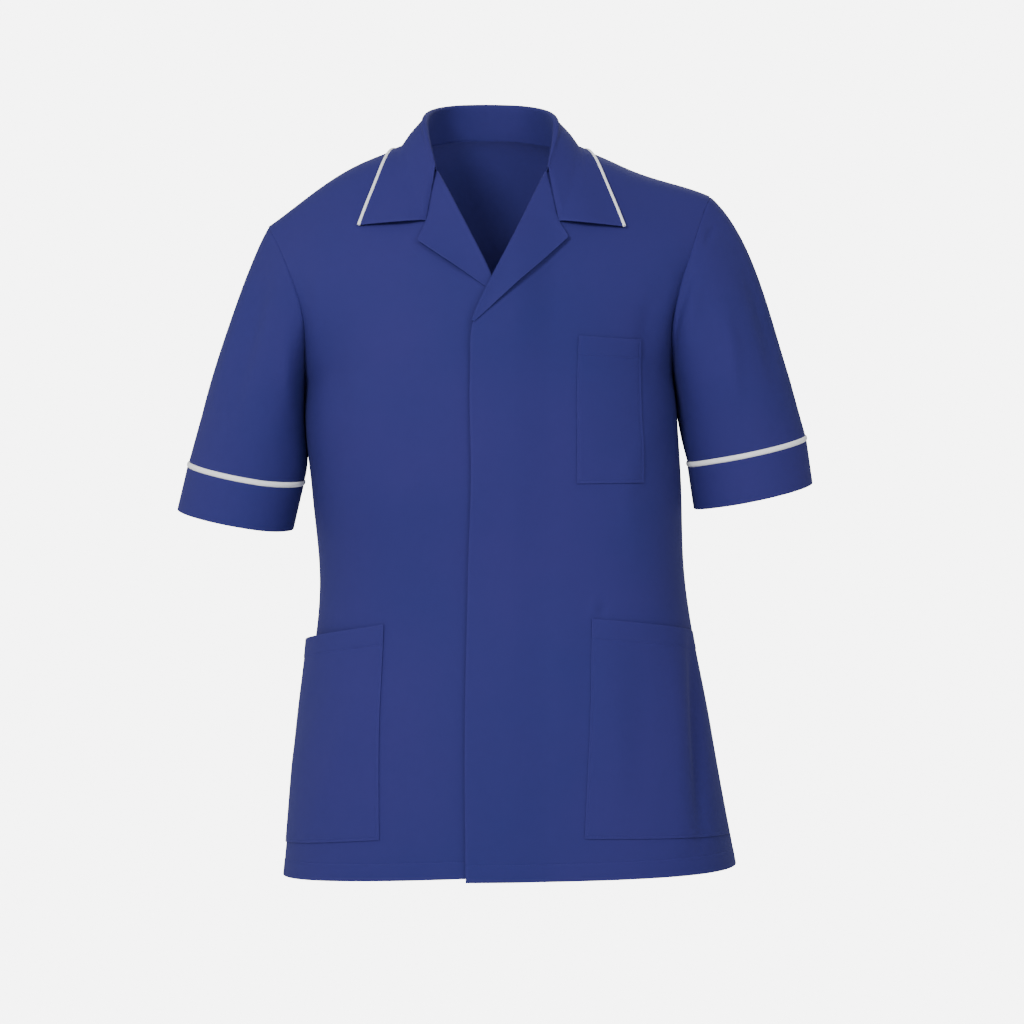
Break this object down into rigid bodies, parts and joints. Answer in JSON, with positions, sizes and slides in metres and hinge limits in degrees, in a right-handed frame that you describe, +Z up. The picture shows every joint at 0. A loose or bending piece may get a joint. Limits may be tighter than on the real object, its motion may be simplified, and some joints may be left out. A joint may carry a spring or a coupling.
{
  "type": "work tunic",
  "caption": "Short-sleeved work tunic, filled out as if worn: notched collar with white piping, lapped front with hidden closing, cuff bands, chest pocket and lower patch pockets.",
  "frame": {"origin": "midway between the high shoulder points, where the neck seam meets the shoulder seams: the wearer's shoulders hold the tunic up there", "axes": "+Z up, -Y to the wearer's front, +X to the wearer's left"},
  "size_m": [0.6578, 0.3001, 0.8114],
  "materials": {
    "cloth": "smooth blue poly-cotton twill",
    "piping": "white cotton piping"
  },
  "bodies": {
    "root": {"front_left": "cloth", "front_right": "cloth", "back": "cloth", "sleeve_left": "cloth", "sleeve_right": "cloth", "cuff_left": "cloth", "cuff_right": "cloth", "cuff_piping_left": "piping", "cuff_piping_right": "piping", "collar": "cloth", "collar_piping": "piping", "lapel_left": "cloth", "lapel_right": "cloth", "chest_pocket": "cloth", "lower_pocket_left": "cloth", "lower_pocket_right": "cloth"}
  },
  "joints": []
}
